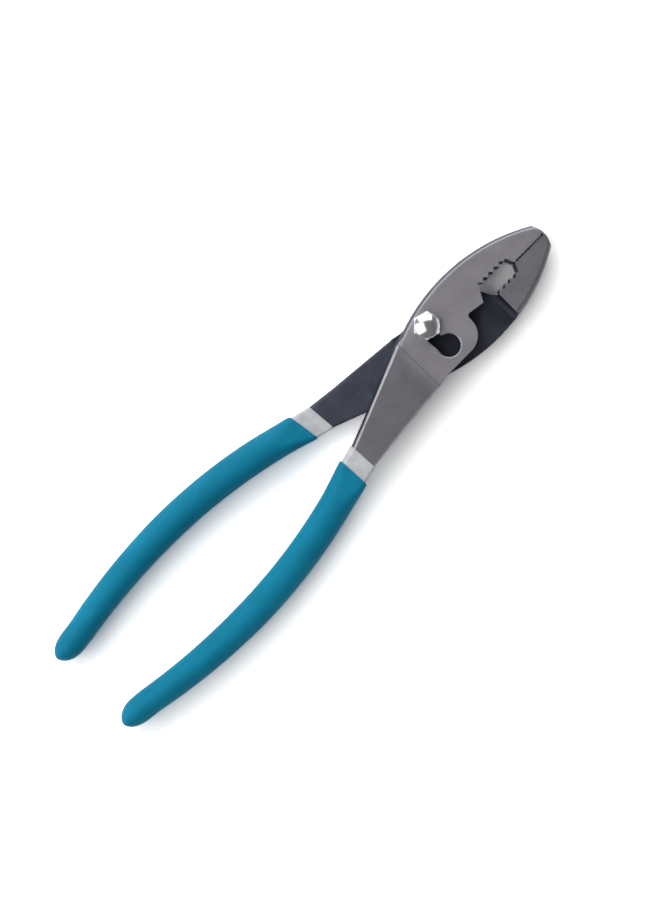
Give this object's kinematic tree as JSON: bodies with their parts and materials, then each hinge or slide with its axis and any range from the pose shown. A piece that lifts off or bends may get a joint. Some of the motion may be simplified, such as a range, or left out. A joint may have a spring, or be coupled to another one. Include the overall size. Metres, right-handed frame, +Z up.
{
  "type": "slip joint pliers",
  "caption": "Slip joint pliers with a curved nose, toothed pipe grip, wire cutter, sliding pivot bolt under a domed nut, and dipped handle grips over a pale base coat.",
  "frame": {"origin": "centre of the tool's outline, on the plane that it rests on", "axes": "+X along the tool to the jaw tips, +Y across it to the handle of the lower half, +Z up through the pivot to the nut"},
  "size_m": [0.2512, 0.06, 0.0184],
  "materials": {
    "ground_steel": "forged steel, blackened, with ground satin faces",
    "bright_steel": "polished bright plating",
    "base_coat": "thin dipped plastic coat, pale grey",
    "grip": "dipped soft plastic, matte with a fine grain"
  },
  "bodies": {
    "slotted_half": {"slotted_half": "ground_steel", "slotted_half_base_coat": "base_coat", "slotted_half_grip": "grip"},
    "pivot": {"pivot_bolt": "bright_steel", "pivot_nut": "bright_steel"},
    "bolt_half": {"bolt_half": "ground_steel", "bolt_half_base_coat": "base_coat", "bolt_half_grip": "grip"}
  },
  "joints": [
    {"name": "slip", "type": "slide", "parent": "slotted_half", "child": "pivot", "axis": [0.0698, -0.9976, 0], "range_m": [0, 0.0114]},
    {"name": "jaw_pivot", "type": "hinge", "parent": "pivot", "child": "bolt_half", "pos_m": [0.0672, 0.0069, 0.00735], "axis": [0, 0, -1], "range_deg": [0, 45]}
  ]
}
